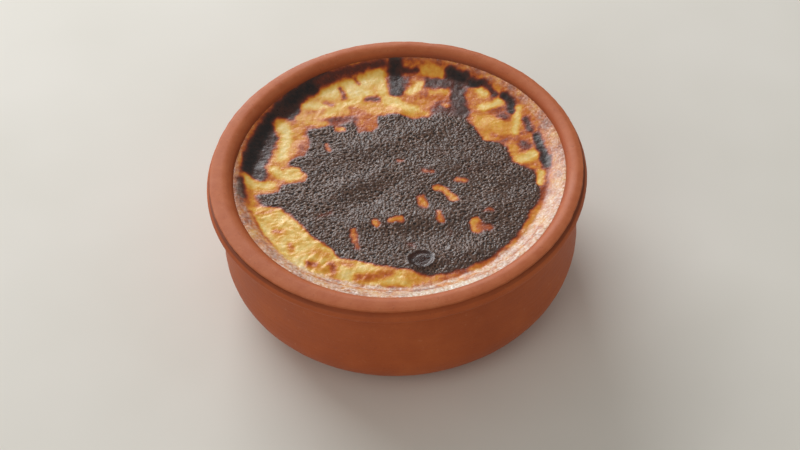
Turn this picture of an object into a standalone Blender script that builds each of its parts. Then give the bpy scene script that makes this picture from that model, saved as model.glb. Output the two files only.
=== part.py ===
"""Oven-baked rice pudding in the shallow clay bowl that it was baked in.

Two solids. The bowl is thrown from one piece of clay: a flat foot, a round heel, an upright wall, a
bead that stands proud, a groove over the bead, and a flat crest with a crisp edge, which falls inwards
to the cavity. The crest and the cavity were turned a little off the bead's centre. The pudding fills
the cavity to just under the crest. Its skin sticks to the clay, sinks a little inside that line and
lies in broad swells.

The origin is on the foot, under the middle of the bead, with +Z up. Lengths are in metres.
"""

import math

import bmesh
import bpy
from mathutils import Matrix, Vector

MM = 0.001
SEGMENTS = 64

# Bowl, outside.
BEAD_RADIUS = 62.0 * MM
BOWL_HEIGHT = 45.4 * MM
FOOT_RADIUS = 40.0 * MM
WALL_RADIUS = 58.6 * MM
HEEL_HEIGHT = 17.0 * MM
NECK_RADIUS = 58.2 * MM
NECK_HEIGHT = 38.6 * MM
BEAD_HEIGHT = 42.0 * MM
BEAD_THICKNESS = 3.8 * MM
BEAD_REACH = 2.2 * MM
GROOVE_RADIUS = 60.2 * MM
GROOVE_HEIGHT = 44.2 * MM
CREST_CENTRE = Vector((0.0, 0.5, 0.0)) * MM
CREST_RADIUS = 60.9 * MM
CREST_EDGE = 0.4 * MM

# Bowl, inside. The cavity was cut a little off the lip's centre.
CAVITY_CENTRE = Vector((1.0, 1.2, 0.0)) * MM
CAVITY_RADIUS = 53.4 * MM
CAVITY_FOOT_RADIUS = 52.2 * MM
FLOOR_RADIUS = 36.0 * MM
FLOOR_THICKNESS = 7.0 * MM
INNER_HEEL_HEIGHT = 15.0 * MM
RIM_FALL_WIDTH = 4.8 * MM
RIM_FALL_DEPTH = 5.9 * MM

# Pudding. The gap keeps the two faceted solids from touching.
GAP = 0.3 * MM
SKIN_LEVEL = 40.3 * MM
CONTACT_HEIGHT = 43.0 * MM
CLIMB_START = 0.87
TOP_RINGS = 17

# Swells and hollows of the skin: middle x and y, length and width of the ridge, its turn in degrees
# from +X, and its height, in millimetres. They are placed from the cavity's centre.
SWELLS = (
    (-4.0, -18.7, 26.0, 9.0, 0.0, 0.8),
    (26.0, -17.2, 26.0, 8.0, 3.0, 0.7),
    (7.0, -25.2, 26.0, 9.0, -8.0, -0.7),
    (16.0, -35.7, 24.0, 8.0, 4.0, 0.8),
    (-11.0, -40.2, 22.0, 8.0, -8.0, 0.6),
    (-31.0, -26.2, 30.0, 9.0, -48.0, 0.5),
    (-14.0, -1.7, 26.0, 9.0, 25.0, 0.7),
    (-9.0, -7.2, 22.0, 8.0, 30.0, -0.5),
    (-6.0, 15.8, 26.0, 9.0, 17.0, 0.6),
    (8.0, 20.8, 18.0, 7.0, -5.0, 0.5),
    (0.0, 30.3, 14.0, 6.0, 0.0, 0.5),
    (18.0, 3.3, 20.0, 8.0, 5.0, 0.5),
    (36.0, -8.0, 12.0, 6.0, 0.0, -0.4),
)


def arc(middle_r, middle_z, radius_r, radius_z, start, end, steps):
    """Points (r, z) along an elliptical arc, from start to end degrees, both ends included."""
    points = []
    for step in range(steps + 1):
        angle = math.radians(start + (end - start) * step / steps)
        points.append((middle_r + radius_r * math.cos(angle), middle_z + radius_z * math.sin(angle)))
    return points


def smoothstep(value):
    """0 below 0, 1 above 1, and a smooth rise between."""
    value = min(max(value, 0.0), 1.0)
    return value * value * (3.0 - 2.0 * value)


def add_ring(bm, radius, height, centre):
    """The vertices of a level circle, in order."""
    place = Matrix.Translation((centre.x, centre.y, height))
    return bmesh.ops.create_circle(bm, segments=SEGMENTS, radius=radius, matrix=place)["verts"]


def skin_over(bm, rings):
    """Closes a body through its rings, in order, with a flat foot and a fan of triangles at the end."""
    for ring, following in zip(rings, rings[1:]):
        for index in range(SEGMENTS):
            bm.faces.new((ring[index - 1], ring[index], following[index], following[index - 1]))
    bm.faces.new(rings[0])
    last = bm.faces.new(rings[-1])
    bmesh.ops.poke(bm, faces=[last])
    bmesh.ops.recalc_face_normals(bm, faces=bm.faces)


def make_object(name, bm, material, sharp_above):
    """Turns the bmesh into a shaded object, with edges sharper than that angle left crisp."""
    mesh = bpy.data.meshes.new(name)
    bm.to_mesh(mesh)
    bm.free()
    mesh.materials.append(material)
    mesh.shade_smooth()
    mesh.set_sharp_from_angle(angle=math.radians(sharp_above))
    made = bpy.data.objects.new(name, mesh)
    bpy.context.collection.objects.link(made)
    return made


def make_material(name, colour, roughness):
    """A plain Principled material. The colour is linear."""
    material = bpy.data.materials.new(name)
    material.use_nodes = True
    shader = material.node_tree.nodes["Principled BSDF"]
    shader.inputs["Base Color"].default_value = (*colour, 1.0)
    shader.inputs["Roughness"].default_value = roughness
    shader.inputs["Metallic"].default_value = 0.0
    return material


def outer_profile():
    """The bowl's outside up to the groove over the bead."""
    heel = arc(FOOT_RADIUS, HEEL_HEIGHT, WALL_RADIUS - FOOT_RADIUS, HEEL_HEIGHT, -90, 0, 8)
    bead = arc(BEAD_RADIUS - BEAD_REACH, BEAD_HEIGHT, BEAD_REACH, BEAD_THICKNESS / 2, -80, 60, 8)
    return heel + [(NECK_RADIUS, NECK_HEIGHT)] + bead + [(GROOVE_RADIUS, GROOVE_HEIGHT)]


def crest_profile():
    """The crest's rounded outer edge, upwards to its flat top."""
    return arc(CREST_RADIUS - CREST_EDGE, BOWL_HEIGHT - CREST_EDGE, CREST_EDGE, CREST_EDGE, -40, 90, 4)


def rim_fall(inset, steps, top):
    """The rim's rounded fall to the cavity, upwards from the wall to a height of at most top."""
    middle_r = CAVITY_RADIUS + RIM_FALL_WIDTH
    middle_z = BOWL_HEIGHT - RIM_FALL_DEPTH
    radius_z = RIM_FALL_DEPTH + inset
    rise = min((top - middle_z) / radius_z, 1.0)
    end = 180.0 - math.degrees(math.asin(rise))
    return arc(middle_r, middle_z, RIM_FALL_WIDTH + inset, radius_z, 180.0, end, steps)


def cavity_profile(inset, steps, top):
    """The cavity's floor edge, heel, wall and rim, upwards, moved into the cavity by inset."""
    heel_z = FLOOR_THICKNESS + INNER_HEEL_HEIGHT
    heel_width = CAVITY_FOOT_RADIUS - FLOOR_RADIUS
    heel = arc(FLOOR_RADIUS, heel_z, heel_width - inset, INNER_HEEL_HEIGHT - inset, -90, 0, steps)
    return heel + rim_fall(inset, steps, top)


def make_bowl():
    """The clay bowl: its outside, then over the crest and down the cavity."""
    bm = bmesh.new()
    on_axis = Vector((0.0, 0.0, 0.0))
    rings = [add_ring(bm, r, z, on_axis) for r, z in outer_profile()]
    rings += [add_ring(bm, r, z, CREST_CENTRE) for r, z in crest_profile()]
    cavity = reversed(cavity_profile(0.0, 7, BOWL_HEIGHT))
    rings += [add_ring(bm, r, z, CAVITY_CENTRE) for r, z in cavity]
    skin_over(bm, rings)
    clay = make_material("fired_clay", (0.42, 0.135, 0.05), 0.75)
    return make_object("clay_bowl", bm, clay, 50)


def swell_height(x, y):
    """How far the swells lift the skin at a point, counted from the cavity's centre."""
    height = 0.0
    for middle_x, middle_y, length, width, turn, rise in SWELLS:
        angle = math.radians(turn)
        across_x = x - middle_x * MM
        across_y = y - middle_y * MM
        along = across_x * math.cos(angle) + across_y * math.sin(angle)
        across = across_y * math.cos(angle) - across_x * math.sin(angle)
        falloff = (2 * along / (length * MM)) ** 2 + (2 * across / (width * MM)) ** 2
        height += rise * MM * math.exp(-falloff)
    return height


def skin_height(x, y, contact_radius):
    """The skin's height at a point, counted from the cavity's centre."""
    share = math.hypot(x, y) / contact_radius
    climb = smoothstep((share - CLIMB_START) / (1.0 - CLIMB_START))
    flat = SKIN_LEVEL + swell_height(x, y)
    return flat + (CONTACT_HEIGHT - flat) * climb


def make_pudding():
    """The pudding: the cavity's shape with a gap, up to the line where the skin meets the rim."""
    bm = bmesh.new()
    side = cavity_profile(GAP, 6, CONTACT_HEIGHT)
    rings = [add_ring(bm, r, z, CAVITY_CENTRE) for r, z in side]
    contact_radius = side[-1][0]
    side_vertices = set(bm.verts)
    for ring in range(1, TOP_RINGS):
        share = 1.0 - (ring / TOP_RINGS) ** 1.15
        rings.append(add_ring(bm, contact_radius * share, CONTACT_HEIGHT, CAVITY_CENTRE))
    skin_over(bm, rings)
    for vertex in bm.verts:
        if vertex not in side_vertices:
            out = vertex.co - CAVITY_CENTRE
            vertex.co.z = skin_height(out.x, out.y, contact_radius)
    skin = make_material("baked_skin", (0.30, 0.13, 0.035), 0.4)
    return make_object("rice_pudding", bm, skin, 40)


def main():
    for old in list(bpy.data.objects):
        bpy.data.objects.remove(old)
    make_bowl()
    make_pudding()


main()
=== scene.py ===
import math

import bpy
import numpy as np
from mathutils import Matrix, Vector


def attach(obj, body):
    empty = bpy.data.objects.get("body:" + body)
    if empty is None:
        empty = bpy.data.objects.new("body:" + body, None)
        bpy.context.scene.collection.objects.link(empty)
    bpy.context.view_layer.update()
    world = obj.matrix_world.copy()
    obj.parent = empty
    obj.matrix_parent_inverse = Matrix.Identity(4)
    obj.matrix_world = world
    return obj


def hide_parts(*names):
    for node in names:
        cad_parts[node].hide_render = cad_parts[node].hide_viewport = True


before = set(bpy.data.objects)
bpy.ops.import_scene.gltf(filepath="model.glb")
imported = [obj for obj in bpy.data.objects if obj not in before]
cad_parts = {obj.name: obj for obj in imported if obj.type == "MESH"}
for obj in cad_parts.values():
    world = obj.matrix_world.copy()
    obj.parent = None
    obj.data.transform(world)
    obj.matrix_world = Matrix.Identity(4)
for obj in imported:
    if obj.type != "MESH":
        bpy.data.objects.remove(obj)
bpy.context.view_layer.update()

# Looks of the oven-baked rice pudding in its clay bowl.
#
# The bowl and the pudding are each replaced by a finer closed mesh of the same form. Lengths here are
# in millimetres from the foot's middle, with x to the right, y to the back and z up, and are turned
# into metres where a mesh or a node needs them. The pudding's skin carries its browning, milk film and
# pits as attributes, worked out from named patches and seeded noise, which its material reads.

MM = 0.001

# The bowl's driving sizes, as in the solids.
BEAD_RADIUS = 62.0
BOWL_HEIGHT = 45.4
FOOT_RADIUS = 40.0
WALL_RADIUS = 58.6
HEEL_HEIGHT = 17.0
NECK_RADIUS = 58.2
NECK_HEIGHT = 38.6
BEAD_HEIGHT = 42.0
BEAD_THICKNESS = 3.8
BEAD_REACH = 2.2
GROOVE_RADIUS = 60.2
GROOVE_HEIGHT = 44.2
CREST_X, CREST_Y = 0.0, 0.5
CREST_RADIUS = 60.9
CREST_EDGE = 0.4
CREST_FALL = 0.3  # how much lower the crest's outer edge lies
CAVITY_X, CAVITY_Y = 1.0, 1.2
CAVITY_RADIUS = 53.4
CAVITY_FOOT_RADIUS = 52.2
FLOOR_RADIUS = 36.0
FLOOR_THICKNESS = 7.0
INNER_HEEL_HEIGHT = 15.0
RIM_FALL_WIDTH = 4.8
RIM_FALL_DEPTH = 5.9

# The pudding's driving sizes, as in the solids.
SKIN_LEVEL = 40.3
CONTACT_HEIGHT = 43.0
CLIMB_START = 0.87
SWELLS = (
    (-4.0, -18.7, 26.0, 9.0, 0.0, 0.8),
    (26.0, -17.2, 26.0, 8.0, 3.0, 0.7),
    (7.0, -25.2, 26.0, 9.0, -8.0, -0.7),
    (16.0, -35.7, 24.0, 8.0, 4.0, 0.8),
    (-11.0, -40.2, 22.0, 8.0, -8.0, 0.6),
    (-31.0, -26.2, 30.0, 9.0, -48.0, 0.5),
    (-14.0, -1.7, 26.0, 9.0, 25.0, 0.7),
    (-9.0, -7.2, 22.0, 8.0, 30.0, -0.5),
    (-6.0, 15.8, 26.0, 9.0, 17.0, 0.6),
    (8.0, 20.8, 18.0, 7.0, -5.0, 0.5),
    (0.0, 30.3, 14.0, 6.0, 0.0, 0.5),
    (18.0, 3.3, 20.0, 8.0, 5.0, 0.5),
    (36.0, -8.0, 12.0, 6.0, 0.0, -0.4),
)

# Mesh fineness.
BOWL_SEGMENTS = 480
SKIN_CELLS = 300
BITE = 0.25  # how far the pudding reaches into the clay, so that no gap shows


# ---------------------------------------------------------------- noise and shapes in numpy

def fade(t):
    return t * t * t * (t * (t * 6.0 - 15.0) + 10.0)


def smoothstep(t):
    t = np.clip(t, 0.0, 1.0)
    return t * t * (3.0 - 2.0 * t)


def gradient_noise(u, v, seed):
    """Noise of about -1 to 1, with features about one unit wide."""
    rng = np.random.default_rng(seed)
    size = 256
    turn = rng.uniform(0.0, 2.0 * np.pi, (size, size))
    slope_u, slope_v = np.cos(turn), np.sin(turn)
    i, j = np.floor(u).astype(int), np.floor(v).astype(int)
    total = 0.0
    for di in (0, 1):
        for dj in (0, 1):
            du, dv = u - i - di, v - j - dj
            gu = slope_u[(i + di) % size, (j + dj) % size]
            gv = slope_v[(i + di) % size, (j + dj) % size]
            weight = fade(1.0 - np.abs(du)) * fade(1.0 - np.abs(dv))
            total = total + weight * (gu * du + gv * dv)
    return total * 1.5


def noise(x, y, cell, seed):
    """Noise with features about a cell wide, turned by its seed so that no grid shows."""
    angle = 0.7 + 1.9 * seed
    u = (x * math.cos(angle) - y * math.sin(angle)) / cell + 97.3
    v = (x * math.sin(angle) + y * math.cos(angle)) / cell + 61.7
    return gradient_noise(u, v, seed)


def streaks(along, across, length, width, seed):
    """Noise drawn out into streaks of that length and width."""
    return gradient_noise(along / length + 97.3, across / width + 61.7, seed)


def layered_noise(x, y, cell, layers, seed):
    """Noise with finer and weaker noise on top."""
    total = 0.0
    for layer in range(layers):
        total = total + noise(x, y, cell / 2.0 ** layer, seed + layer) * 0.55 ** layer
    return total


def cell_noise(x, y, cell, seed):
    """Distance in mm to the nearest of a jittered grid of points, and that point's own number, 0 to 1."""
    rng = np.random.default_rng(seed)
    size = 256
    jitter_x, jitter_y, lot = rng.random((3, size, size))
    u, v = x / cell + 83.0, y / cell + 59.0
    i, j = np.floor(u).astype(int), np.floor(v).astype(int)
    nearest = np.full(np.shape(x), 9.0)
    number = np.zeros(np.shape(x))
    for di in (-1, 0, 1):
        for dj in (-1, 0, 1):
            a, b = (i + di) % size, (j + dj) % size
            distance = np.hypot(u - i - di - jitter_x[a, b], v - j - dj - jitter_y[a, b])
            nearer = distance < nearest
            nearest = np.where(nearer, distance, nearest)
            number = np.where(nearer, lot[a, b], number)
    return nearest * cell, number


def path_distance(x, y, points):
    """Distance to a chain of straight runs."""
    best = np.full(np.shape(x), 1e9)
    ends = points[1:] if len(points) > 1 else points
    for (ax, ay), (bx, by) in zip(points, ends):
        run_x, run_y = bx - ax, by - ay
        length = max(run_x * run_x + run_y * run_y, 1e-9)
        share = np.clip(((x - ax) * run_x + (y - ay) * run_y) / length, 0.0, 1.0)
        best = np.minimum(best, np.hypot(x - ax - share * run_x, y - ay - share * run_y))
    return best


def outline_distance(x, y, points):
    """Distance to a closed outline, negative inside it."""
    inside = np.zeros(np.shape(x), bool)
    for (ax, ay), (bx, by) in zip(points, points[1:] + points[:1]):
        if ay != by:
            crosses = (ay > y) != (by > y)
            inside ^= crosses & (x < (bx - ax) * (y - ay) / (by - ay) + ax)
    distance = path_distance(x, y, points + points[:1])
    return np.where(inside, -distance, distance)


# ---------------------------------------------------------------- the skin's browning

# The scorched middle, as a closed outline.
SCORCH_OUTLINE = (
    (-46, -2.5), (-39, -1), (-37, 1.5), (-31, 2.5), (-29.5, 6), (-33, 9.5), (-36.5, 11), (-34, 13.5),
    (-29, 14), (-28, 20), (-28, 25.5), (-23, 27.5), (-19, 27), (-13, 28.5), (-11, 24), (-7, 23.5),
    (-4, 29.5), (2, 31), (7, 27.5), (12, 28), (17, 30), (24, 26.5), (27, 21.5), (29.5, 16),
    (36, 12.5), (38, 5), (41, 2), (45, 0), (45.5, -7), (46, -12), (42, -18), (38.5, -25),
    (34, -31), (26, -38), (17, -41), (8, -42.5), (3, -39.5), (-4, -37.5), (-12, -35), (-20, -31.5),
    (-23, -27), (-29, -21), (-34, -13), (-38, -8.5), (-43, -7.5),
)

# The pale patch at the lower left, as a closed outline.
PALE_OUTLINE = (
    (-48.5, -8), (-42, -8), (-37.5, -10), (-33, -15.5), (-30, -19), (-27.5, -23.5), (-22.5, -28),
    (-20, -32), (-12, -34), (-7, -38), (2, -40.5), (5.5, -43), (2, -46), (-12, -44.5), (-22, -41),
    (-31, -36.5), (-38, -30.5), (-43, -24), (-47, -14),
)

# Painted in order over a golden ground: browning from 0, cream, to 1, black; width in millimetres; how
# soft its edge is; and the points of the stroke.
STROKE_SOFTNESS = 1.7
BACK_STROKES = (
    (0.88, 8.0, 1.6, ((-46.5, 7), (-45.5, 15), (-43, 22), (-39, 29.5), (-35, 36), (-29, 42), (-22, 47))),
    (0.99, 3.4, 1.4, ((-48.5, 9), (-46.5, 17), (-43, 26), (-39.5, 31.5))),
    (0.99, 3.2, 1.2, ((-34.5, 38.5), (-30.5, 42.5), (-27, 45))),
    (0.74, 3.0, 1.4, ((-24, 47), (-17, 50.5), (-9, 52.5), (-2, 53.5))),
    (0.30, 11.0, 1.6, ((-24, 37), (-15, 41), (-7, 45))),
    (0.32, 7.0, 1.4, ((-28, 32.5), (-20, 34), (-10, 34.5), (0, 34.5), (7, 32))),
    (0.12, 5.6, 2.0, ((-21, 43), (-13, 45.5), (-5, 48))),
    (0.08, 4.6, 2.0, ((-12.5, 42), (-9, 41.5))),
    (0.12, 3.6, 1.6, ((-28.5, 37.5), (-22.5, 36.5))),
    (0.16, 2.4, 1.4, ((-21.5, 32.5), (-17, 36.5), (-11, 38.5))),
    (0.14, 3.4, 1.6, ((-3.2, 50), (-2.6, 41.5))),
    (0.64, 1.6, 1.2, ((-16.5, 45), (-15.6, 39.8))),
    (0.58, 1.4, 1.2, ((-11.8, 49), (-10.5, 46.5))),
    (0.56, 1.6, 1.2, ((-22, 38.6), (-19.5, 37.2))),
    (0.70, 2.4, 1.4, ((-8, 38.8), (-4, 38.2))),
    (0.52, 1.4, 1.2, ((-13.5, 35), (-12, 34.3))),
    (0.46, 1.6, 1.6, ((-28, 34.5), (-23, 35.2))),
    (0.47, 4.4, 1.6, ((-12, 32.5), (-7.5, 29), (-7, 25.5))),
    (0.66, 3.0, 1.6, ((-27, 28.5), (-20, 29.5), (-13, 30))),
    (0.30, 3.0, 1.2, ((-31, 32), (-27.5, 29.5), (-23, 28.3))),
    (0.34, 6.6, 1.4, ((-36.5, 29), (-35, 24), (-35.5, 18), (-38, 12))),
    (0.09, 3.4, 1.4, ((-36.8, 28.5), (-35.3, 25), (-36, 19), (-37.3, 14.5))),
    (0.36, 3.0, 1.4, ((-31, 29), (-31.3, 24), (-32.5, 18))),
    (0.56, 3.0, 1.6, ((-30, 19), (-30.5, 16))),
    (0.42, 4.6, 1.2, ((-41, 10), (-38.5, 6.5), (-35, 4.2), (-31, 4.5))),
    (0.12, 3.0, 1.4, ((-40, 9), (-38, 6.5), (-35, 4.8), (-32.5, 5.2))),
    (0.10, 1.8, 1.4, ((-35.5, 7.5), (-32, 8))),
    (0.36, 5.2, 1.4, ((-49, 4.5), (-46, 1.5), (-41.5, 1))),
    (0.12, 2.8, 1.4, ((-48.8, 4.8), (-46, 2.4), (-41.5, 1.7))),
    (0.80, 2.6, 1.4, ((-51, 4), (-50.5, -3))),
)

RIGHT_STROKES = (
    (0.80, 5.0, 1.8, ((7, 46), (13, 44.5), (19, 44))),
    (0.93, 4.6, 1.4, ((2.2, 54), (2.4, 41.5))),
    (0.80, 1.8, 1.2, ((4, 51), (9, 50.4))),
    (0.14, 4.2, 1.4, ((-1.5, 38), (3, 35.3), (7, 32.5))),
    (0.40, 4.0, 1.8, ((8, 36.5), (12, 34), (14.5, 33))),
    (0.44, 5.4, 1.6, ((9, 46), (8.5, 42), (6, 38))),
    (0.13, 3.0, 1.4, ((10, 44), (7, 40.7))),
    (0.30, 3.2, 1.4, ((12.5, 50.2), (18, 48.2))),
    (0.28, 2.0, 1.4, ((14, 39.3), (19.3, 40))),
    (0.72, 7.5, 2.0, ((17, 31), (22, 29.5))),
    (0.84, 5.0, 1.8, ((23, 42), (22.5, 34.5), (23.5, 29))),
    (0.36, 1.8, 1.2, ((18, 33.8), (18.5, 32.8))),
    (0.97, 3.8, 1.4, ((21, 47.5), (25, 45.2))),
    (0.97, 3.2, 1.4, ((27.5, 42.3), (31, 41.3))),
    (0.80, 2.2, 1.4, ((32, 40.5), (35, 35.8))),
    (0.43, 5.0, 1.8, ((27.5, 37), (28.5, 32), (30, 27))),
    (0.16, 3.0, 1.6, ((30.5, 39), (31.5, 37))),
    (0.33, 7.4, 1.8, ((30, 24), (33.5, 23), (37, 20.5))),
    (0.11, 2.8, 1.4, ((30.5, 31), (34, 31.4), (36.5, 33.6))),
    (0.26, 3.0, 1.8, ((29.5, 25), (35, 22))),
    (0.32, 2.6, 1.4, ((30.3, 19), (31, 16.5))),
    (0.95, 2.6, 1.2, ((37.8, 35), (40.3, 31.5), (40, 28))),
    (0.70, 2.8, 1.6, ((36.3, 26.8), (38, 25.5))),
    (0.12, 2.4, 1.2, ((42.3, 28.5), (41.6, 24), (40.3, 18.6))),
    (0.42, 3.4, 1.8, ((44.5, 27), (46, 20), (45.5, 13))),
    (0.82, 2.0, 1.4, ((44, 24), (45.6, 18.5))),
    (0.72, 3.0, 1.8, ((42.6, 13), (43.5, 11))),
    (0.96, 2.8, 1.2, ((47.2, 15.5), (48, 10), (49.2, 5), (49.3, 2))),
    (0.33, 2.8, 1.4, ((38.5, 11.5), (39.7, 7))),
    (0.10, 4.0, 1.6, ((41.8, 5.8), (45.3, 7.3))),
    (0.58, 2.6, 1.4, ((48.6, 0.5), (47.6, -6), (46.8, -12.5))),
    (0.13, 2.2, 1.2, ((47.3, -0.8), (46.2, -5.5))),
    (0.36, 1.8, 1.4, ((45, -16.5), (42, -22.5), (39, -27.5))),
    (0.40, 1.4, 1.0, ((11, -47.2), (16, -45.2), (22, -43.4), (27, -42))),
    (0.66, 1.2, 1.0, ((3, -48.6), (9, -48.3))),
)

FRONT_STROKES = (
    (0.50, 2.0, 1.8, ((-40, -19), (-38.4, -19.2))),
    (0.46, 1.8, 1.6, ((-35.6, -25), (-34.8, -27))),
    (0.56, 2.8, 1.8, ((-30, -34), (-27.5, -34.8))),
    (0.56, 2.8, 1.8, ((-22.6, -35), (-22.2, -38.8))),
    (0.44, 2.4, 1.6, ((-19.5, -34.8), (-16, -35.6))),
    (0.48, 3.4, 1.8, ((-14, -41.5), (-8, -41.3), (-4, -40.3))),
    (0.34, 3.0, 1.8, ((-28, -29), (-24, -30.5))),
    (0.32, 3.2, 1.8, ((-25.5, -36.5), (-24, -38.5))),
    (0.08, 2.6, 1.4, ((-33.3, -32), (-32, -34.5))),
    (0.08, 2.4, 1.4, ((-18.5, -39), (-17.5, -39.6))),
    (0.34, 3.6, 1.8, ((1.5, -42), (4.5, -44))),
    (0.52, 1.2, 1.0, ((-47.5, -10), (-45.3, -18), (-41, -25.5))),
    (0.42, 1.6, 1.6, ((-46, -10.5), (-41, -9.8))),
)

# Lighter spots that stayed golden in the scorched middle.
SPOTS = (
    (0.22, 2.2, 1.6, ((-18.3, 25.6), (-16.6, 25.3))),
    (0.40, 1.8, 1.6, ((-22.2, 18.8), (-21.8, 16))),
    (0.52, 2.4, 1.8, ((-11.4, 24), (-9.6, 24))),
    (0.48, 2.0, 1.8, ((0.8, 8.8), (1.8, 8.7))),
    (0.52, 2.4, 2.0, ((9, 3.6), (11.5, 2.4))),
    (0.40, 2.6, 1.6, ((20, -1.8), (22, -2.2))),
    (0.33, 3.0, 1.6, ((12.8, -4.6), (15.6, -6), (18, -10))),
    (0.35, 3.2, 1.8, ((7.5, -9), (8.3, -11.5))),
    (0.40, 2.6, 1.8, ((13, -15.6), (13.2, -19.4))),
    (0.34, 2.4, 1.4, ((-8, -18), (-7.3, -19.4))),
    (0.36, 2.6, 1.4, ((-3, -18.2), (0.6, -17.8))),
    (0.42, 2.6, 1.6, ((-15, -20.8), (-15, -25))),
    (0.48, 2.0, 1.6, ((-14, -27), (-13.8, -28.4))),
    (0.62, 2.2, 2.0, ((-26, -14), (-22, -12))),
    (0.26, 3.6, 1.6, ((24, -20.8), (24.6, -24.4))),
    (0.54, 3.6, 2.0, ((26, -23), (28.5, -24))),
    (0.52, 2.2, 1.8, ((28, -16.6), (30, -17))),
    (0.62, 2.2, 2.0, ((2.6, -28.4), (4, -29))),
    (0.70, 2.2, 2.0, ((16, -23), (16, -26))),
    (0.70, 2.4, 2.0, ((14.6, 12), (16, 10.5))),
    (0.70, 2.4, 2.0, ((23.4, 3), (25, 1.5))),
    (0.74, 3.0, 2.0, ((19, 22), (22, 21))),
    (0.76, 3.6, 2.4, ((-5, -3), (-7, -8))),
)

# The dried milk film along the clay: degrees round from the front towards the right, its width in
# millimetres, and how white it is, partly its own colour and partly a painted reflection that is
# strongest at the front.
FILM = (
    (-105, 1.2, 0.30), (-90, 2.4, 0.40), (-75, 4.4, 0.45), (-60, 5.6, 0.55), (-45, 5.8, 0.85),
    (-30, 6.6, 0.90), (-15, 7.4, 0.90), (0, 6.8, 0.90), (15, 7.4, 1.00), (30, 6.0, 1.00),
    (45, 7.0, 1.00), (60, 7.2, 0.95), (75, 5.8, 0.75), (90, 4.2, 0.55), (112, 3.4, 0.40),
    (135, 2.6, 0.28), (155, 1.6, 0.15), (180, 0.9, 0.10), (205, 0.6, 0.00), (235, 0.5, 0.00),
)

# Where the browned skin shows through the film: width, softness and the points of the stroke.
FILM_GAPS = (
    (1.8, 1.4, ((10.5, -47.3), (13.5, -46.6))),
    (1.6, 1.4, ((17.5, -45.3), (22.5, -43.7))),
    (0.6, 0.9, ((1.5, -48.7), (9, -48.6), (15, -47.4), (24, -45), (29, -42.6))),
    (1.5, 1.4, ((38, -28.5), (41, -24), (43.5, -19.5), (45, -16))),
    (0.7, 0.9, ((34.5, -38), (41, -31), (46, -23.5))),
    (1.2, 1.1, ((-48.3, -8), (-46.5, -14), (-44.5, -19), (-41.5, -24.5), (-38, -28.5), (-35, -32.5))),
    (0.6, 0.9, ((-30, -38.5), (-24, -42.6), (-15, -46), (-6, -47.6), (2, -48))),
)

BLISTER_X, BLISTER_Y = 6.0, -35.4
BLISTER_LENGTH, BLISTER_WIDTH = 8.8, 7.8


def paint(ground, x, y, strokes):
    for browning, width, softness, points in strokes:
        edge = path_distance(x, y, points) - width / 2.0
        share = smoothstep(0.5 - edge / (softness * STROKE_SOFTNESS))
        ground = ground + (browning - ground) * share
    return ground


def skin_browning(x, y):
    """The skin's browning from 0, cream, to 1, black, and its scorched and pale shares."""
    wx = x + 0.50 * noise(x, y, 3.6, 11) + 0.30 * noise(x, y, 1.4, 12)
    wy = y + 0.50 * noise(x, y, 3.6, 13) + 0.30 * noise(x, y, 1.4, 14)

    browning = 0.47 + 0.15 * layered_noise(x, y, 5.0, 3, 21)
    pale = smoothstep(0.5 - outline_distance(wx, wy, PALE_OUTLINE) / 2.6)
    browning += (0.17 + 0.10 * noise(x, y, 3.2, 24) - browning) * pale
    scorch = smoothstep(0.5 - outline_distance(wx, wy, SCORCH_OUTLINE) / 2.8)
    scorched = 0.90 + 0.05 * layered_noise(x, y, 7.0, 3, 27)
    browning += (scorched - browning) * scorch
    for strokes in (BACK_STROKES, RIGHT_STROKES, FRONT_STROKES, SPOTS):
        browning = paint(browning, wx, wy, strokes)
    browning = browning + 0.035 * layered_noise(x, y, 1.8, 2, 31)
    scorch = scorch * smoothstep((browning - 0.55) / 0.25)
    return np.clip(browning, 0.0, 1.0), scorch, pale


def film_looks(x, y, depth):
    """The film's share, its whiteness, which is partly a painted reflection, and its ridges. depth is the
    distance in from the clay.
    """
    around = np.arctan2(x - CAVITY_X, CAVITY_Y - y)
    bearings, widths, whiteness_and_sheen = np.array(FILM).T
    degrees = np.degrees(around)
    width = np.interp(degrees, bearings, widths, period=360.0)
    white_and_sheen = np.interp(degrees, bearings, whiteness_and_sheen, period=360.0)
    along = around * CAVITY_RADIUS
    width = width * (1.0 + 0.14 * noise(x, y, 5.0, 41)) + 0.4 * noise(x, y, 1.6, 42)
    film = smoothstep(0.5 + (width - depth) / 1.5)

    ridges = 0.6 * streaks(along, depth, 2.8, 0.85, 43) + 0.5 * streaks(along, depth, 1.2, 0.6, 44)
    fibres = streaks(along, depth, 0.7, 4.0, 45)
    smooth = smoothstep((along + 2.0) / 3.0) * smoothstep((27.0 - along) / 6.0) * smoothstep(4.0 - depth)
    crumbs = (1.0 - smooth) * (0.55 + 0.55 * ridges + 0.25 * noise(x, y, 0.8, 46))
    crumbs = np.clip(crumbs + smooth * (0.85 + 0.25 * fibres), 0.0, 1.0)
    gaps = np.zeros(np.shape(x))
    for gap_width, softness, points in FILM_GAPS:
        edge = path_distance(x, y, points) - gap_width / 2.0
        gaps = np.maximum(gaps, smoothstep(0.5 - edge / softness))
    crumbs = crumbs * (1.0 - 0.85 * gaps)
    relief = (1.0 - smooth) * ridges + 0.35 * smooth * fibres
    return film, film * white_and_sheen * crumbs, relief


# ---------------------------------------------------------------- the skin's relief

def swell_height(x, y):
    """How far the swells lift the skin, counted from the cavity's centre."""
    height = 0.0
    for middle_x, middle_y, length, width, turn, rise in SWELLS:
        angle = math.radians(turn)
        along = (x - middle_x) * math.cos(angle) + (y - middle_y) * math.sin(angle)
        across = (y - middle_y) * math.cos(angle) - (x - middle_x) * math.sin(angle)
        height = height + rise * np.exp(-(2 * along / length) ** 2 - (2 * across / width) ** 2)
    return height


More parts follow.
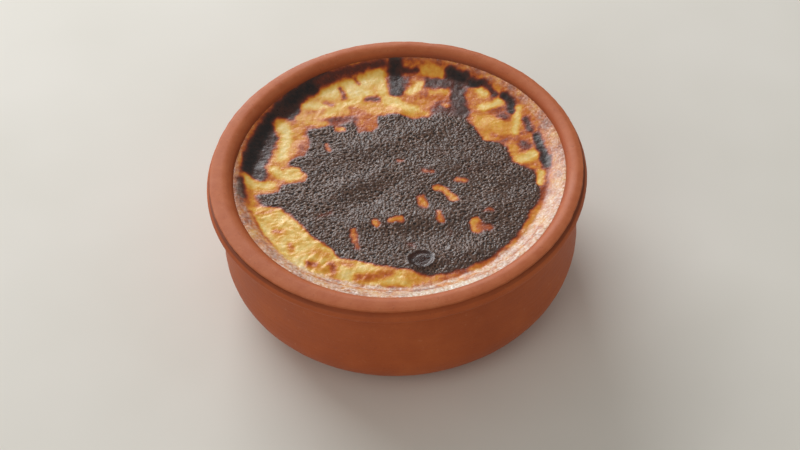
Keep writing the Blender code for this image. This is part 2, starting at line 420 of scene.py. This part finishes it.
def grain_lumps(x, y):
    """Rice grains that show as soft lumps under the skin."""
    rng = np.random.default_rng(5)
    height = np.zeros(np.shape(x))
    for _ in range(420):
        radius = 52.0 * math.sqrt(rng.random())
        bearing, turn = rng.uniform(0.0, 2.0 * np.pi, 2)
        length, width = rng.uniform(4.4, 6.2), rng.uniform(1.8, 2.4)
        rise = rng.uniform(0.12, 0.34)
        dx = x - CAVITY_X - radius * math.cos(bearing)
        dy = y - CAVITY_Y - radius * math.sin(bearing)
        near = dx * dx + dy * dy < 36.0
        along = dx[near] * math.cos(turn) + dy[near] * math.sin(turn)
        across = dy[near] * math.cos(turn) - dx[near] * math.sin(turn)
        lump = rise * np.exp(-(2 * along / length) ** 2 - (2 * across / width) ** 2)
        height[near] = np.maximum(height[near], lump)
    return height


def pit_depths(x, y):
    """Burst bubbles in the scorched skin: how deep they go, from 0 to 1, and their raised lips."""
    coarse = smoothstep(0.5 + 1.6 * noise(x, y, 16.0, 51) - 0.014 * (x + 6.0))
    pits, lips = np.zeros(np.shape(x)), np.zeros(np.shape(x))
    for cell, radius, seed, share in ((1.9, 0.58, 52, coarse), (1.25, 0.40, 53, 1.0 - 0.5 * coarse)):
        wander = 0.3 * noise(x, y, 1.5, seed)
        distance, lot = cell_noise(x + wander, 1.3 * y + wander, cell, seed)
        size = radius * (0.5 + 0.8 * lot)
        pit = smoothstep(1.3 - distance / size) * (lot > 0.15) * share
        lip = np.exp(-(((distance - 1.35 * size) / (0.4 * size)) ** 2)) * share
        pits, lips = np.maximum(pits, pit), np.maximum(lips, lip)
    return pits, lips


def blister_shape(x, y):
    """The one big collapsed bubble: its height over the skin, and its share."""
    along = 2.0 * (x - BLISTER_X) / BLISTER_LENGTH
    across = 2.0 * (y - BLISTER_Y) / BLISTER_WIDTH
    reach = np.hypot(along, across)
    share = smoothstep((1.1 - reach) / 0.2)
    near = smoothstep(0.5 - 0.5 * across)
    lip = (0.25 + 0.50 * near) * np.exp(-(((reach - 0.95) / 0.15) ** 2))
    dish = np.clip(1.0 - reach * reach, 0.0, 1.0) * (-0.30 - 0.10 * across)
    return lip + dish, share


def skin_surface(x, y, radius, contact):
    """Height of the skin, and the attributes of its looks, at points x, y.

    radius is the distance from the cavity's centre, and contact the radius where the clay begins.
    """
    depth = contact - radius
    browning, scorch, pale = skin_browning(x, y)
    film, white_and_sheen, ridges = film_looks(x, y, depth)
    blister, smooth = blister_shape(x, y)
    rough = scorch * (1.0 - film) * (1.0 - smooth)

    climb = smoothstep((radius / contact - CLIMB_START) / (1.0 - CLIMB_START))
    flat = SKIN_LEVEL + swell_height(x - CAVITY_X, y - CAVITY_Y)
    height = flat + (CONTACT_HEIGHT - flat) * climb
    height += 0.20 * layered_noise(x, y, 9.0, 3, 61) * (1.0 - climb)

    pits, lips = pit_depths(x, y)
    pits, lips = pits * rough, lips * rough
    wrinkles = 1.0 - 2.0 * np.abs(streaks(x - 0.3 * y, y + 0.25 * x, 3.2, 1.2, 64))
    height += -0.32 * pits + 0.10 * lips
    height += (0.10 * layered_noise(x, y, 1.7, 2, 63) + 0.07 * wrinkles) * rough
    height += grain_lumps(x, y) * (0.25 + 0.75 * pale) * (1.0 - 0.8 * scorch) * (1.0 - climb)
    height += (0.05 + 0.04 * pale) * noise(x, y, 1.2, 65) * (1.0 - scorch)
    height += blister

    height += 0.17 * film * ridges * smoothstep(depth / 0.8)
    height += 0.22 * noise(x, y, 8.0, 69) * climb * smoothstep(depth / 1.5)
    return height, {
        "browning": browning,
        "film": white_and_sheen,
        "wet": film,
        "scorch": scorch * (1.0 - smooth),
        "pit": pits,
        "ash_and_glint": lips,
        "blister": smooth,
    }


# ---------------------------------------------------------------- profiles

def arc(middle_r, middle_z, radius_r, radius_z, start, end, steps):
    """Points (r, z) along an elliptical arc, from start to end degrees, both ends included."""
    angles = np.radians(np.linspace(start, end, steps + 1))
    return [(middle_r + radius_r * math.cos(a), middle_z + radius_z * math.sin(a)) for a in angles]


def run(start, end, steps):
    """Points along a straight run, without its ends."""
    shares = np.linspace(0.0, 1.0, steps + 1)[1:-1]
    return [(start[0] + (end[0] - start[0]) * s, start[1] + (end[1] - start[1]) * s) for s in shares]


def outer_profile():
    """The bowl's outside, from the foot's middle up to the groove over the bead."""
    foot = [(r, 0.0) for r in (0.5, 12.0, 24.0, 34.0, 38.5)]
    heel = arc(FOOT_RADIUS, HEEL_HEIGHT, WALL_RADIUS - FOOT_RADIUS, HEEL_HEIGHT, -90, 0, 26)
    neck = (NECK_RADIUS, NECK_HEIGHT)
    bead = arc(BEAD_RADIUS - BEAD_REACH, BEAD_HEIGHT, BEAD_REACH, BEAD_THICKNESS / 2, -80, 60, 14)
    groove = arc(GROOVE_RADIUS + 0.5, GROOVE_HEIGHT, 0.5, 0.35, 240, 130, 4)
    return foot + heel + run(heel[-1], neck, 26) + [neck] + bead + groove


def crest_profile():
    """The crest's rounded outer edge and its top, which rises a little to the inside."""
    edge_r, edge_z = CREST_RADIUS - CREST_EDGE, BOWL_HEIGHT - CREST_FALL - CREST_EDGE
    inner = (CAVITY_RADIUS + RIM_FALL_WIDTH + 1.2, BOWL_HEIGHT)
    edge = arc(edge_r, edge_z, CREST_EDGE, CREST_EDGE, -40, 90, 6)
    return edge + run(edge[-1], inner, 3)


def rim_fall(inset, steps, top):
    """The rim's rounded fall to the cavity, upwards from the wall to a height of at most top."""
    middle_r, middle_z = CAVITY_RADIUS + RIM_FALL_WIDTH, BOWL_HEIGHT - RIM_FALL_DEPTH
    radius_z = RIM_FALL_DEPTH + inset
    end = 180.0 - math.degrees(math.asin(min((top - middle_z) / radius_z, 1.0)))
    return arc(middle_r, middle_z, RIM_FALL_WIDTH + inset, radius_z, 180.0, end, steps)


def cavity_profile(inset, steps, top):
    """The cavity's floor edge, heel, wall and rim, upwards, moved into the cavity by inset."""
    heel_z = FLOOR_THICKNESS + INNER_HEEL_HEIGHT
    heel_width = CAVITY_FOOT_RADIUS - FLOOR_RADIUS
    heel = arc(FLOOR_RADIUS, heel_z, heel_width - inset, INNER_HEEL_HEIGHT - inset, -90, 0, steps)
    return heel + rim_fall(inset, 2 * steps, top)


# ---------------------------------------------------------------- meshes

def make_piece(name, points, faces, attributes, flat_map, material, node):
    """A closed mesh from points in mm, with its attributes and its bake map, in place of a solid."""
    mesh = bpy.data.meshes.new(name)
    mesh.from_pydata((points * MM).tolist(), [], faces)
    for key, values in attributes.items():
        layer = mesh.attributes.new(key, "FLOAT", "POINT")
        layer.data.foreach_set("value", values.astype(np.float32))
    corners = mesh.uv_layers.new(name="OFBake")
    corners.data.foreach_set("uv", flat_map(mesh).astype(np.float32).ravel())
    mesh.materials.append(material)
    mesh.shade_smooth()
    mesh.update()
    piece = bpy.data.objects.new(name, mesh)
    bpy.context.scene.collection.objects.link(piece)
    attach(piece, "root")
    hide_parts(node)
    return piece


def corner_vertices(mesh):
    index = np.empty(len(mesh.loops), np.int32)
    mesh.loops.foreach_get("vertex_index", index)
    return index


def ring_faces(first, second, count):
    """Quads between two rings of vertices that run the same way round."""
    return [(first + k, first + (k + 1) % count, second + (k + 1) % count, second + k)
            for k in range(count)]


def make_bowl(material):
    """The turned clay bowl, with the potter's faint unevenness."""
    outside, crest = outer_profile(), crest_profile()
    inside = cavity_profile(0.0, 14, BOWL_HEIGHT)[::-1]
    inside += [(r, FLOOR_THICKNESS) for r in (24.0, 12.0, 0.5)]
    profile = outside + crest + inside
    bearing = np.arange(BOWL_SEGMENTS) * (2.0 * np.pi / BOWL_SEGMENTS)
    across, up = np.cos(bearing), np.sin(bearing)
    # far weights the far left side of the inside, which faces away from the light.
    far = smoothstep(0.5 + 0.9 * up - 0.25 * across)
    sway = 0.10 * noise(58.0 * across, 58.0 * up, 46.0, 81) + 0.05 * noise(
        58.0 * across, 58.0 * up, 11.0, 82)
    wander = noise(58.0 * across, 58.0 * up, 60.0, 83)
    rings, clay_darkening, dust_and_sheen = [], [], []
    for number, (r, z) in enumerate(profile):
        on_outside = number < len(outside)
        on_crest = len(outside) <= number < len(outside) + len(crest)
        if on_outside:
            centre_x, centre_y = 0.0, 0.0
        elif on_crest:
            centre_x, centre_y = CREST_X, CREST_Y
        else:
            centre_x, centre_y = CAVITY_X, CAVITY_Y
        free = min(z / 6.0, 1.0)
        throwing = 0.035 * np.sin(2.0 * np.pi * (z + 1.2 * wander) / 2.4) * on_outside * (z < NECK_HEIGHT)
        grain = 0.03 * noise(bearing * 58.0, np.full(BOWL_SEGMENTS, z + r), 1.6, 84) * on_outside
        radius = r + free * (sway - 0.12 + throwing + grain)
        dent = 0.30 * np.exp(-(((bearing - 1.31) / 0.05) ** 2)) * smoothstep((r - 56.0) / 4.0)
        edge = on_crest and number < len(outside) + 7
        chips = 0.12 * noise(bearing * 58.0, np.full(BOWL_SEGMENTS, 3.0), 2.6, 86) * edge
        radius = radius + chips
        level = 0.05 * free * (z > 44.0) * (1.0 + noise(58.0 * across, 58.0 * up, 14.0, 85))
        rings.append(np.stack([centre_x + (radius - dent * free) * across,
                               centre_y + (radius - dent * free) * up, z - level], 1))
        darkening = np.zeros(BOWL_SEGMENTS)
        # Just above the pudding the clay is drawn darker all round, and more so on the far left side; that
        # extra darkening on the far left is painted shade.
        if not on_outside and not on_crest and z > 38.0:
            darkening = far * (1.0 - np.clip((z - CONTACT_HEIGHT + 0.5) / 1.6, 0.0, 1.0))
            darkening = np.maximum(darkening, 0.35 * (1.0 - np.clip((z - CONTACT_HEIGHT) / 0.8, 0.0, 1.0)))
        # Painted shade in the groove under the crest, deepest to the left and the right.
        if on_outside and z > BEAD_HEIGHT + 1.4:
            shade = 0.55 + 0.25 * np.cos(2.0 * bearing) + 0.2 * wander
            darkening = np.full(BOWL_SEGMENTS, 1.0) * shade
        # Painted shade in the neck's crease under the bead.
        if on_outside and abs(z - NECK_HEIGHT - 0.6) < 1.0:
            darkening = 0.35 + 0.25 * wander
        clay_darkening.append(darkening)
        # The rim's top is drawn paler: dust, and partly a painted sheen where the top catches the light.
        dust_and_sheen.append(np.full(BOWL_SEGMENTS, float(smoothstep((z - 43.8) / 1.2)) * (not on_outside)))
    points = np.concatenate(rings)
    faces = []
    for number in range(len(rings) - 1):
        faces += ring_faces(number * BOWL_SEGMENTS, (number + 1) * BOWL_SEGMENTS, BOWL_SEGMENTS)
    last = (len(rings) - 1) * BOWL_SEGMENTS
    faces.append(tuple(range(BOWL_SEGMENTS))[::-1])
    faces.append(tuple(range(last, last + BOWL_SEGMENTS)))

    steps = np.hypot(*np.diff(np.array(profile), axis=0).T)
    travel = np.concatenate([[0.0], np.cumsum(steps)])
    travel = 0.01 + 0.98 * travel / travel[-1]

    def flat_map(mesh):
        index = corner_vertices(mesh)
        ring, spoke = index // BOWL_SEGMENTS, index % BOWL_SEGMENTS
        u = spoke / BOWL_SEGMENTS
        face = np.repeat(np.arange(len(mesh.polygons)), [len(p.vertices) for p in mesh.polygons])
        start = np.zeros(len(mesh.polygons), bool)
        np.logical_or.at(start, face, spoke == BOWL_SEGMENTS - 1)
        u = np.where(start[face] & (spoke == 0) & (face < len(mesh.polygons) - 2), 1.0, u)
        return np.stack([u, travel[ring]], 1)

    attributes = {"clay_darkening": np.concatenate(clay_darkening), "dust_and_sheen": np.concatenate(dust_and_sheen)}
    return make_piece("bowl", points, faces, attributes, flat_map, material, "clay_bowl")


def make_pudding(material):
    """The pudding: a fine grid for its skin, sewn to a plain side and base that the bowl hides."""
    side = cavity_profile(-BITE, 2, CONTACT_HEIGHT)
    contact = side[-1][0]
    ends = np.linspace(-1.0, 1.0, SKIN_CELLS + 1)
    u, v = np.meshgrid(ends, ends, indexing="ij")
    wide = np.abs(u) > np.abs(v)
    reach = np.where(wide, u, v)
    safe = np.where(reach == 0.0, 1.0, reach)
    angle = np.where(wide, np.pi / 4 * v / safe, np.pi / 2 - np.pi / 4 * u / safe)
    x = (CAVITY_X + contact * reach * np.cos(angle)).ravel()
    y = (CAVITY_Y + contact * reach * np.sin(angle)).ravel()
    radius = contact * np.abs(reach).ravel()
    z, attributes = skin_surface(x, y, radius, contact)
    count = SKIN_CELLS + 1
    number = np.arange(count * count).reshape(count, count)
    faces = np.stack([number[:-1, :-1], number[1:, :-1], number[1:, 1:], number[:-1, 1:]], -1)
    faces = [tuple(face) for face in faces.reshape(-1, 4).tolist()]
    edge = np.concatenate([number[:-1, 0], number[-1, :-1], number[:0:-1, -1], number[0, :0:-1]])

    skin = np.stack([x, y, z], 1)
    around = skin[edge]
    bearing = np.arctan2(around[:, 1] - CAVITY_Y, around[:, 0] - CAVITY_X)
    rings = [np.stack([CAVITY_X + r * np.cos(bearing), CAVITY_Y + r * np.sin(bearing),
                       np.full(len(edge), h)], 1) for r, h in side[-2::-1]]
    points = np.concatenate([skin] + rings)
    above = edge
    for ring in range(len(rings)):
        below = len(skin) + ring * len(edge) + np.arange(len(edge))
        faces += [tuple(face) for face in np.stack(
            [above, below, np.roll(below, -1), np.roll(above, -1)], 1).tolist()]
        above = below
    faces.append(tuple(above.tolist()[::-1]))
    plain = len(points) - len(skin)
    attributes = {key: np.concatenate([values, np.zeros(plain)]) for key, values in attributes.items()}

    def flat_map(mesh):
        index = corner_vertices(mesh)
        top = np.array([0.5, 0.5]) + (points[:, :2] - (CAVITY_X, CAVITY_Y)) * (0.485 / contact)
        depth = 1.0 - np.clip((index - len(skin)) // len(edge), 0, None) / (len(rings) + 1)
        spread = (points[index, :2] - (CAVITY_X, CAVITY_Y)) / contact
        spread = spread / np.maximum(np.hypot(*spread.T), 1e-6)[:, None]
        low = np.array([0.93, 0.07]) + 0.06 * depth[:, None] * spread
        grid_faces = SKIN_CELLS * SKIN_CELLS
        on_top = np.repeat(np.arange(len(mesh.polygons)) < grid_faces,
                           [len(p.vertices) for p in mesh.polygons])
        return np.where(on_top[:, None], top[index], low)

    return make_piece("pudding", points, faces, attributes, flat_map, material,
                      "rice_pudding")


# ---------------------------------------------------------------- materials

class Nodes:
    """Short ways to add and wire the nodes of one material."""

    def __init__(self, name):
        self.material = bpy.data.materials.new(name)
        self.material.use_nodes = True
        self.tree = self.material.node_tree
        self.shader = self.tree.nodes["Principled BSDF"]
        self.place = self.add("ShaderNodeTexCoord").outputs["Object"]

    def add(self, kind, **settings):
        node = self.tree.nodes.new(kind)
        for key, value in settings.items():
            setattr(node, key, value)
        return node

    def wire(self, value, socket):
        if isinstance(value, bpy.types.NodeSocket):
            self.tree.links.new(value, socket)
        else:
            socket.default_value = value

    def value(self, name):
        return self.add("ShaderNodeAttribute", attribute_name=name).outputs["Fac"]

    def math(self, operation, first, second=0.0, clamp=False):
        node = self.add("ShaderNodeMath", operation=operation, use_clamp=clamp)
        self.wire(first, node.inputs[0])
        self.wire(second, node.inputs[1])
        return node.outputs[0]

    def speckle(self, size, detail=2.0, roughness=0.55, place=None):
        """Noise from 0 to 1, with features of that size in mm."""
        node = self.add("ShaderNodeTexNoise")
        self.wire(place or self.place, node.inputs["Vector"])
        node.inputs["Scale"].default_value = 1.0 / (size * MM)
        node.inputs["Detail"].default_value = detail
        node.inputs["Roughness"].default_value = roughness
        return node.outputs["Fac"]

    def cells(self, size, feature="F1"):
        node = self.add("ShaderNodeTexVoronoi", feature=feature)
        self.wire(self.place, node.inputs["Vector"])
        node.inputs["Scale"].default_value = 1.0 / (size * MM)
        return node.outputs["Distance"]

    def spread(self, value, low, high, to_low=0.0, to_high=1.0):
        node = self.add("ShaderNodeMapRange")
        self.wire(value, node.inputs["Value"])
        node.inputs["From Min"].default_value = low
        node.inputs["From Max"].default_value = high
        node.inputs["To Min"].default_value = to_low
        node.inputs["To Max"].default_value = to_high
        return node.outputs["Result"]

    def ramp(self, value, stops):
        """A colour from stops of (position, sRGB colour)."""
        node = self.add("ShaderNodeValToRGB")
        self.wire(value, node.inputs["Fac"])
        marks = node.color_ramp.elements
        while len(marks) < len(stops):
            marks.new(0.5)
        for mark, (position, colour) in zip(marks, stops):
            mark.position = position
            mark.color = linear(colour)
        return node.outputs["Color"]

    def mix(self, share, first, second, blend="MIX"):
        node = self.add("ShaderNodeMix", data_type="RGBA", blend_type=blend)
        self.wire(share, node.inputs[0])
        for colour, socket in ((first, node.inputs[6]), (second, node.inputs[7])):
            self.wire(linear(colour) if isinstance(colour, tuple) else colour, socket)
        return node.outputs[2]

    def bump(self, height, distance, strength=1.0, normal=None):
        """Bump from a height of 0 to 1, where 1 stands distance mm proud."""
        node = self.add("ShaderNodeBump")
        self.wire(height, node.inputs["Height"])
        self.wire(strength, node.inputs["Strength"])
        node.inputs["Distance"].default_value = distance * MM
        if normal:
            self.wire(normal, node.inputs["Normal"])
        return node.outputs["Normal"]


def linear(colour):
    """An sRGB colour of 0 to 255 as linear RGBA."""
    shares = [c / 255.0 for c in colour]
    return (*[s / 12.92 if s <= 0.04045 else ((s + 0.055) / 1.055) ** 2.4 for s in shares], 1.0)


def skin_material():
    """Baked milk skin: cream through gold and orange-brown to black, pitted where it scorched, with painted
    shade in the pits and pale lips that are partly a painted highlight.
    """
    n = Nodes("baked_skin")
    scorch, pit, film, wet = n.value("scorch"), n.value("pit"), n.value("film"), n.value("wet")
    fine = n.math("SUBTRACT", n.speckle(1.1, 3.0, 0.6), 0.5)
    browning = n.math("ADD", n.value("browning"), n.math("MULTIPLY", fine, 0.22), clamp=True)
    colour = n.ramp(browning, (
        (0.00, (250, 228, 170)),
        (0.12, (242, 206, 118)),
        (0.24, (232, 176, 66)),
        (0.36, (220, 142, 34)),
        (0.48, (196, 98, 18)),
        (0.60, (146, 56, 12)),
        (0.72, (92, 32, 10)),
        (0.84, (64, 28, 14)),
        (0.94, (44, 20, 13)),
        (1.00, (20, 7, 5)),
    ))
    burnt = n.ramp(n.speckle(2.6, 3.0, 0.6), ((0.30, (52, 34, 28)), (0.52, (74, 48, 36)), (0.72, (98, 68, 52))))
    colour = n.mix(n.math("MULTIPLY", scorch, 0.85), colour, burnt)
    # The pits' raised lips take a pale ash tone, which is partly a painted highlight.
    colour = n.mix(n.math("MULTIPLY", n.value("ash_and_glint"), 0.55), colour, (150, 118, 98))
    # Painted shade: the pits are darkened almost to black.
    colour = n.mix(n.math("MULTIPLY", pit, 0.88), colour, (16, 8, 6))
    # The film's milk colour. Where the film is whitest, at the front, the white is partly a painted reflection.
    milk = n.ramp(n.speckle(0.9, 3.0, 0.65), (
        (0.32, (196, 160, 122)), (0.46, (232, 212, 186)), (0.60, (250, 242, 230))))
    colour = n.mix(film, colour, milk)
    n.wire(colour, n.shader.inputs["Base Color"])

    rough = n.spread(n.speckle(0.8, 2.0), 0.3, 0.7, 0.26, 0.44)
    rough = n.math("SUBTRACT", rough, n.math("MULTIPLY", n.value("blister"), 0.10))
    n.wire(rough, n.shader.inputs["Roughness"])
    n.shader.inputs["Specular IOR Level"].default_value = 0.45
    n.shader.inputs["Subsurface Weight"].default_value = 0.10
    n.shader.inputs["Subsurface Scale"].default_value = 1.2 * MM
    n.shader.inputs["Subsurface Radius"].default_value = (1.0, 0.55, 0.3)

    foam = n.math("MULTIPLY", n.spread(n.cells(0.95), 0.05, 0.55), scorch)
    normal = n.bump(foam, 0.20)
    crackle = n.math("MULTIPLY", n.speckle(0.7, 3.0, 0.6), n.spread(wet, 0.0, 1.0, 0.6, 1.0))
    normal = n.bump(crackle, 0.16, normal=normal)
    n.wire(normal, n.shader.inputs["Normal"])
    return n.material


def clay_material():
    """Unglazed fired clay: mottled, finely speckled, paler on the rim's top with dust and a painted sheen,
    darker with painted shade under the crest, round the neck and on the far left above the pudding, and darker
    just above the pudding all round.
    """
    n = Nodes("fired_clay")
    mottle = n.speckle(17.0, 4.0, 0.6)
    colour = n.ramp(mottle, ((0.30, (168, 78, 32)), (0.52, (178, 86, 38)), (0.72, (188, 96, 46))))
    # Paler colour for the rim's top: dust, and partly a painted sheen.
    dust_and_sheen_colour = n.ramp(n.speckle(5.0, 4.0, 0.65), ((0.30, (184, 96, 52)), (0.70, (200, 116, 72))))
    colour = n.mix(n.math("MULTIPLY", n.value("dust_and_sheen"), 0.75), colour, dust_and_sheen_colour)
    grit = n.spread(n.speckle(0.9, 2.0, 0.7), 0.62, 0.74)
    colour = n.mix(n.math("MULTIPLY", grit, 0.30), colour, (112, 44, 18))
    pale = n.spread(n.speckle(1.6, 3.0, 0.7), 0.62, 0.78)
    colour = n.mix(n.math("MULTIPLY", pale, 0.20), colour, (220, 164, 124))
    # This darkening is painted shade under the crest, round the neck and on the far left just above the
    # pudding, with a plain darker band above the pudding all round.
    colour = n.mix(n.math("MULTIPLY", n.value("clay_darkening"), 0.70), colour, (70, 26, 10))
    n.wire(colour, n.shader.inputs["Base Color"])
    n.wire(n.spread(mottle, 0.3, 0.7, 0.50, 0.62), n.shader.inputs["Roughness"])
    n.shader.inputs["Specular IOR Level"].default_value = 0.35
    stretched = n.add("ShaderNodeMapping")
    n.wire(n.place, stretched.inputs["Vector"])
    stretched.inputs["Scale"].default_value = (0.25, 0.25, 3.0)
    lines = n.speckle(2.2, 3.0, 0.6, stretched.outputs["Vector"])
    normal = n.bump(lines, 0.10)
    n.wire(n.bump(n.speckle(0.55, 3.0, 0.65), 0.05, normal=normal), n.shader.inputs["Normal"])
    return n.material


def floor_material():
    n = Nodes("pale_floor")
    n.wire(n.ramp(n.speckle(60.0, 2.0), ((0.3, (226, 223, 214)), (0.7, (231, 228, 220)))),
           n.shader.inputs["Base Color"])
    n.shader.inputs["Roughness"].default_value = 0.7
    return n.material


# ---------------------------------------------------------------- stage

def make_floor():
    reach = 2.5
    mesh = bpy.data.meshes.new("floor")
    corners = [(-reach, -reach, 0.0), (reach, -reach, 0.0), (reach, reach, 0.0), (-reach, reach, 0.0)]
    mesh.from_pydata(corners, [], [(0, 1, 2, 3)])
    mesh.materials.append(floor_material())
    floor = bpy.data.objects.new("floor", mesh)
    bpy.context.scene.collection.objects.link(floor)


def make_light(name, place, width, height, power, colour, aim=(0.0, 0.0, 0.03)):
    light = bpy.data.lights.new(name, "AREA")
    light.shape = "RECTANGLE"
    light.size, light.size_y = width, height
    light.energy = power
    light.color = colour
    lamp = bpy.data.objects.new(name, light)
    lamp.location = place
    lamp.rotation_euler = (Vector(aim) - Vector(place)).to_track_quat("-Z", "Y").to_euler()
    bpy.context.scene.collection.objects.link(lamp)


def make_world():
    world = bpy.data.worlds.new("studio")
    world.use_nodes = True
    background = world.node_tree.nodes["Background"]
    background.inputs["Color"].default_value = (1.0, 0.97, 0.93, 1.0)
    background.inputs["Strength"].default_value = 0.38
    bpy.context.scene.world = world


def make_camera():
    """The camera looks down from the front, a little rolled, through a long lens."""
    target = Vector((0.04, -10.35, 30.0)) * MM
    distance, elevation, roll = 0.7831, math.radians(47.31), math.radians(-4.13)
    back = Vector((0.0, -math.cos(elevation), math.sin(elevation)))
    up = Vector((0.0, math.sin(elevation), math.cos(elevation)))
    right = Vector((1.0, 0.0, 0.0))
    turned_right = math.cos(roll) * right + math.sin(roll) * up
    turned_up = -math.sin(roll) * right + math.cos(roll) * up
    data = bpy.data.cameras.new("camera")
    data.sensor_width = 36.0
    data.lens = 108.0
    data.clip_start = 0.01
    camera = bpy.data.objects.new("camera", data)
    turn = Matrix((turned_right, turned_up, back)).transposed()
    camera.matrix_world = Matrix.Translation(target + back * distance) @ turn.to_4x4()
    bpy.context.scene.collection.objects.link(camera)
    bpy.context.scene.camera = camera


def main():
    make_bowl(clay_material())
    make_pudding(skin_material())
    make_floor()
    make_world()
    make_light("window", (-0.45, 0.96, 0.56), 1.0, 0.6, 13.0, (0.96, 0.98, 1.0))
    make_light("fill", (-0.9, -0.8, 0.9), 0.9, 0.9, 3.0, (1.0, 0.96, 0.90))
    make_camera()
    bpy.context.scene.view_settings.view_transform = "Standard"


main()
